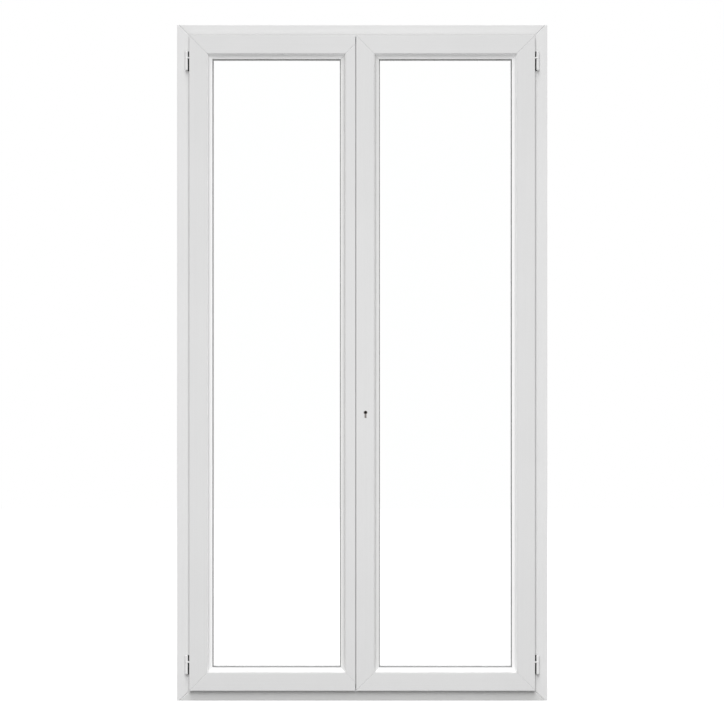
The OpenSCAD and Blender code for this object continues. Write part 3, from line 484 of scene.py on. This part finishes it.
film_span, film_rough = (0.55, 1.0), (0.0, 0.05)
glass, tree, shader = start_finish("clear_glass")
shader.inputs["Base Color"].default_value = (0.998, 1.0, 0.999, 1.0)
shader.inputs["Transmission Weight"].default_value = 1.0
shader.inputs["IOR"].default_value = 1.45
wiped = mottle(tree, piece_place(tree), scale=7.0, detail=6.0)
tree.links.new(spread_values(tree, wiped, film_span, film_rough), shader.inputs["Roughness"])
open_air = tree.nodes.new("ShaderNodeBsdfTransparent")
either = tree.nodes.new("ShaderNodeMixShader")
tree.links.new(ray_share(tree, ("Is Shadow Ray", "Is Diffuse Ray")), either.inputs["Fac"])
tree.links.new(shader.outputs["BSDF"], either.inputs[1])
tree.links.new(open_air.outputs["BSDF"], either.inputs[2])
tree.links.new(either.outputs["Shader"], tree.nodes["Material Output"].inputs["Surface"])
for side in ("left", "right"):
    coat((f"{side}_inner_pane", f"{side}_outer_pane"), glass)

# Spacer bars: hollow aluminium strips, folded at the corners and glued between the panes. Rows of fine
# holes are pricked through to the drying grains inside, drawn as dark dots of painted shade.
# Painted shade: the dark dots in rows stand for the shade inside the holes.
painted_hole_shade, bare_aluminium = (0.10, 0.10, 0.10, 1.0), (0.76, 0.77, 0.78, 1.0)
hole_stops, spacer_rough = (0.16, 0.20), (0.35, 0.5)
spacer, tree, shader = start_finish("spacer_aluminium")
shader.inputs["Metallic"].default_value = 1.0
holes = tree.nodes.new("ShaderNodeTexVoronoi")
holes.inputs["Scale"].default_value = 250.0
holes.inputs["Randomness"].default_value = 0.0
tree.links.new(piece_place(tree), holes.inputs["Vector"])
pricked = shade_between(tree, holes.outputs["Distance"], painted_hole_shade, bare_aluminium, hole_stops)
tree.links.new(pricked, shader.inputs["Base Color"])
grain = mottle(tree, piece_place(tree), scale=300.0)
tree.links.new(spread_values(tree, grain, to_span=spacer_rough), shader.inputs["Roughness"])
coat(("left_spacer", "right_spacer"), spacer)

# Packers: blocks moulded in blue plastic, set round the edge of the glass. They carry its weight and hold
# it clear of the profile.
packer_dark, packer_light = (0.04, 0.15, 0.33, 1.0), (0.06, 0.19, 0.39, 1.0)
packer = grained_finish("packer_plastic", 150.0, packer_dark, packer_light)
coat(("left_packers", "right_packers"), packer)

# Bead seals: soft grey strips squeezed between bead and glass. A rounded lip stands out past the bead
# all round and shows as a thin line against the pane.
lip_w, lip_round = 0.0016, 0.0014
for side in ("left", "right"):
    low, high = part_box(f"{side}_bead_seal")
    strip_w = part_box(f"{side}_bottom_rail")[1].z - low.z
    middle = (low + high) / 2
    inner_x, inner_z = high.x - strip_w - middle.x, high.z - strip_w - middle.z
    strip = start_plate(low, high, high.y)
    strip.name = f"{side}_lipped_bead_seal"
    bpy.ops.mesh.select_mode(type="FACE")
    bpy.ops.mesh.select_all(action="SELECT")
    bpy.ops.mesh.inset(thickness=strip_w)
    bpy.ops.mesh.delete(type="FACE")
    bpy.ops.mesh.select_all(action="SELECT")
    extrude((0.0, low.y - high.y, 0.0))
    round_edges(strip, lip_round, 5, lambda spot: near(spot.y, low.y)
                and (near(abs(spot.x - middle.x), inner_x) or near(abs(spot.z - middle.z), inner_z))
                and abs(spot.x - middle.x) < inner_x + lip_w and abs(spot.z - middle.z) < inner_z + lip_w)
    finish_shape(strip)
    strip.data.materials.append(rubber)
    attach(strip, f"{side}_leaf")
    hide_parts(f"{side}_bead_seal")

# Glazing beads: drawn white strips, mitred at the corners and snapped in last to hold the glass. Each
# has a narrow flat front and a deep cove down to the seal. Those at hinge stiles, head and sill are made
# extra white, partly as painted light; those at the meeting stiles are painted greyer as painted shade.


def cut_off(point, way):
    bpy.ops.mesh.select_all(action="SELECT")
    bpy.ops.mesh.bisect(plane_co=point, plane_no=way, use_fill=True, clear_outer=True)


flat_w, front_round, cove_hollow = 0.002, 0.0008, 0.086
# Painted light and shade: the whiter tone goes on hinge, head and sill beads, the greyer one on meeting
# beads.
lit_bead_white, shaded_bead_white = (0.96, 0.96, 0.96, 1.0), (0.81, 0.81, 0.805, 1.0)
bead_lit_and_shaded_finishes = {
    "hinge": profile_finish("lit_hinge_side_bead", upright_lines, lit_bead_white),
    "meeting": profile_finish("shaded_meeting_side_bead", upright_lines, shaded_bead_white),
    "top": profile_finish("lit_level_bead", level_lines, lit_bead_white),
}
bead_lit_and_shaded_finishes["bottom"] = bead_lit_and_shaded_finishes["top"]
for side in ("left", "right"):
    pane_low, pane_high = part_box(f"{side}_inner_pane")
    for place in ("hinge", "meeting", "top", "bottom"):
        low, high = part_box(f"{side}_{place}_bead")
        length_axis = 2 if place in ("hinge", "meeting") else 0
        width_axis = 2 - length_axis
        inward = 1.0 if (pane_low + pane_high)[width_axis] > (low + high)[width_axis] else -1.0
        outer_corner, inner_corner = (low, high) if inward > 0.0 else (high, low)
        outer, inner = outer_corner[width_axis], inner_corner[width_axis]
        cove_w = abs(inner - outer) - flat_w
        bead = start_box(low, high)
        bead.name = f"{side}_{place}_coved_bead"
        round_edges(bead, front_round, 3,
                    lambda spot: near(spot[width_axis], outer) and near(spot.y, low.y))
        round_edges(bead, cove_w, 16,
                    lambda spot: near(spot[width_axis], inner) and near(spot.y, low.y), cove_hollow)
        for end, way in ((low, -1.0), (high, 1.0)):
            corner, slant = end.copy(), Vector((0.0, 0.0, 0.0))
            corner[width_axis] = outer
            slant[width_axis], slant[length_axis] = inward, way
            cut_off(corner, slant)
        finish_shape(bead)
        bead.data.materials.append(bead_lit_and_shaded_finishes[place])
        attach(bead, f"{side}_leaf")
        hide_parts(f"{side}_{place}_bead")

# Hinge knuckles: the upper halves of the hinges, cast and lacquered like the posts. Each is a blind barrel
# that drops over the pin, with a low arm whose stem is driven into the edge of the leaf's flange.
knuckle_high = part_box("left_hinge_knuckles")[1]
flange_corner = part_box("left_hinge_stile")[0]
washer_gap, arm_h, arm_set_back, arm_t = 0.0002, 0.004, 0.005, 0.006
arm_slant, arm_edge_start = (-1.0, 0.7, 0.0), 0.001
base = Vector((hinge_axis.x, hinge_axis.y, washer_low.z + washer_t + washer_gap))
peak = Vector((hinge_axis.x, hinge_axis.y, knuckle_high.z - hinge_rise))
knuckle = cast_barrel(peak, base, peak.z - base.z - cap_line - washer_t / 2)
arm_front_y = flange_corner.y + arm_set_back
arm_back_y = arm_front_y + arm_t
arm_top_z = base.z + arm_h
arm = start_box(Vector((base.x, arm_front_y, base.z)), Vector((flange_corner.x, arm_back_y, arm_top_z)))
cut_off((base.x, arm_front_y, base.z), arm_slant)
round_edges(arm, neck_round, 3, lambda spot: near(spot.z, arm_top_z) and near(spot.y, arm_front_y)
            and spot.x > base.x - arm_edge_start)
finish_shape(arm)
stem_y, stem_z = (arm_front_y + arm_back_y) / 2, base.z + arm_h / 2
stem = driven_stem((flange_corner.x, stem_y, stem_z), (knuckle_high.x, stem_y, stem_z), axis=0)
lower_knuckle = gather("left_cast_knuckles", [knuckle, arm, stem])
upper_knuckle = copy_moved(lower_knuckle, (0.0, 0.0, hinge_rise))
left_knuckles = gather("left_cast_knuckles", [lower_knuckle, upper_knuckle])
right_knuckles = copy_moved(left_knuckles, (0.0, 0.0, 0.0), flip=True)
right_knuckles.name = "right_cast_knuckles"
for side, upper_half in (("left", left_knuckles), ("right", right_knuckles)):
    upper_half.data.materials.append(lacquer)
    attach(upper_half, f"{side}_leaf")
    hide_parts(f"{side}_hinge_knuckles")

# Meeting mullion: a drawn plastic profile on the left leaf's edge, which the right leaf closes against. It
# has moulded end caps, a rubber lip and plated keeps for the lock's cams, whose screws hold it to the leaf.
coat(("meeting_mullion",), upright_leaf)
coat(("mullion_end_caps",), moulded)
coat(("mullion_seal",), rubber)
coat(("lock_keeps", "lock_keep_screws"), bright_zinc)

# Flush bolts: plated steel bars that slide by hand in the groove of the left leaf's edge. Shot out, they
# hold that leaf at head and sill.
coat(("upper_flush_bolt", "lower_flush_bolt"), bright_zinc)

# Lock: a gear case let into the right leaf's edge behind a long plated faceplate, with rods that shoot up
# and down. Raised cross-head screws hold the faceplate along its length.
coat(("lock_case", "lock_faceplate", "upper_lock_rod", "lower_lock_rod"), bright_zinc)
plate_low, plate_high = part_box("lock_faceplate")
plate_y = (plate_low.y + plate_high.y) / 2
head_r, head_t, head_round = 0.0034, 0.0005, 0.0003
cross_half, cross_reach, cross_deep = 0.0004, 0.00204, 0.0003
end_distance = 0.03
first_z = plate_low.z + end_distance
further_zs = (0.5, 0.83, 1.04, 1.48, 1.85, plate_high.z - end_distance)
face_x = plate_low.x - head_t
screw = start_round(head_r, (face_x, plate_y, first_z), (plate_low.x, plate_y, first_z), axis=0, sides=32)
round_edges(screw, head_round, 3, lambda spot: near(spot.x, face_x))
for way in ((0.0, 1.0, 0.0), (0.0, 0.0, 1.0)):
    for offset in (-cross_half, cross_half, -cross_reach, cross_reach):
        cut_line(Vector((face_x, plate_y, first_z)) + offset * Vector(way), way)
pick(screw, "FACE", lambda spot: near(spot.x, face_x)
     and min(abs(spot.y - plate_y), abs(spot.z - first_z)) < cross_half
     and max(abs(spot.y - plate_y), abs(spot.z - first_z)) < cross_reach)
extrude((cross_deep, 0.0, 0.0))
finish_shape(screw)
further_screws = [copy_moved(screw, (0.0, 0.0, screw_z - first_z)) for screw_z in further_zs]
screws = gather("faceplate_screws", [screw] + further_screws)
screws.data.materials.append(bright_zinc)
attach(screws, "right_leaf")

# Lock cylinder: a keyhole-shaped body set back in the stile's face, cut in brass and nickel plated, with a
# round plug that a key turns. Handling leaves the satin plating uneven. The body is darker than bare nickel,
# partly as painted shade of the recess, and the plug is near-black as painted shade.
# Painted shade: both tones are darker than nickel to stand for the shade inside the keyhole.
recess_shaded_nickel = plated_finish("recess_shaded_nickel", (0.20, 0.18, 0.17, 1.0), (0.27, 0.25, 0.24, 1.0))
plug_painted_shade = plated_finish("plug_painted_shade", (0.010, 0.010, 0.010, 1.0), (0.018, 0.017, 0.016, 1.0))
coat(("lock_cylinder",), recess_shaded_nickel)
coat(("cylinder_plug",), plug_painted_shade)

# Studio: a pale floor in a white surround. A broad soft lamp hangs high in front, a slim strip stands close
# to the doors, and a softbox lights the back. The camera looks level at the doors, as in the photograph.
floor_w, floor_grey, floor_lift = 26.0, (0.30, 0.30, 0.30, 1.0), 0.80
pure_white, surround_level = (1.0, 1.0, 1.0, 1.0), 0.36
seen_rays = ("Is Camera Ray", "Is Glossy Ray", "Is Transmission Ray")
bpy.ops.mesh.primitive_plane_add(size=floor_w)
floor = bpy.context.object
floor.name = "floor"
pale, tree, shader = start_finish("pale_floor")
shader.inputs["Base Color"].default_value = floor_grey
shader.inputs["Roughness"].default_value = 1.0
shader.inputs["Specular IOR Level"].default_value = 0.0
shader.inputs["Emission Color"].default_value = pure_white
lift = tree.nodes.new("ShaderNodeMath")
lift.operation = "MULTIPLY"
lift.inputs[1].default_value = floor_lift
tree.links.new(ray_share(tree, seen_rays), lift.inputs[0])
tree.links.new(lift.outputs[0], shader.inputs["Emission Strength"])
floor.data.materials.append(pale)

world = bpy.data.worlds.new("white_surround")
world.use_nodes = True
bpy.context.scene.world = world
tree = world.node_tree
soft = tree.nodes["Background"]
soft.inputs["Color"].default_value = pure_white
soft.inputs["Strength"].default_value = surround_level
white = tree.nodes.new("ShaderNodeBackground")
white.inputs["Color"].default_value = pure_white
white.inputs["Strength"].default_value = 1.0
surround = tree.nodes.new("ShaderNodeMixShader")
tree.links.new(ray_share(tree, seen_rays), surround.inputs["Fac"])
tree.links.new(soft.outputs["Background"], surround.inputs[1])
tree.links.new(white.outputs["Background"], surround.inputs[2])
tree.links.new(surround.outputs["Shader"], tree.nodes["World Output"].inputs["Surface"])

aim = Vector((0.0, 0.0, 1.1))
lamps = (("overhead_softbox", (-4.0, -60.0, 70.0), 40.0, 104.0, 69000.0),
         ("front_strip", (0.0, -2.4, 1.2), 0.2, 1.6, 10.0),
         ("back_softbox", (2.0, 7.0, 7.0), 4.0, 4.0, 420.0))
for lamp_name, spot, width, height, watts in lamps:
    bpy.ops.object.light_add(type="AREA", location=spot)
    lamp = bpy.context.object
    lamp.name = lamp_name
    lamp.data.shape = "RECTANGLE"
    lamp.data.size = width
    lamp.data.size_y = height
    lamp.data.energy = watts
    lamp.rotation_euler = (aim - Vector(spot)).to_track_quat("-Z", "Y").to_euler()
    lamp.visible_camera = False
    lamp.visible_transmission = False
    lamp.visible_glossy = lamp_name == "overhead_softbox"

camera_x, camera_z, camera_distance = -0.0005, 1.0976, 10.0
photo_mm_per_pixel, photo_pixels = 3.242, 724
view_width = photo_mm_per_pixel * photo_pixels / 1000.0
frame_face_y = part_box("frame_head")[0].y
bpy.ops.object.camera_add(location=(camera_x, frame_face_y - camera_distance, camera_z),
                          rotation=(radians(90.0), 0.0, 0.0))
camera = bpy.context.object
camera.name = "photo_camera"
camera.data.sensor_width = 36.0
camera.data.lens = camera.data.sensor_width * camera_distance / view_width
camera.data.clip_end = 100.0
bpy.context.scene.camera = camera
bpy.context.scene.view_settings.view_transform = "Standard"
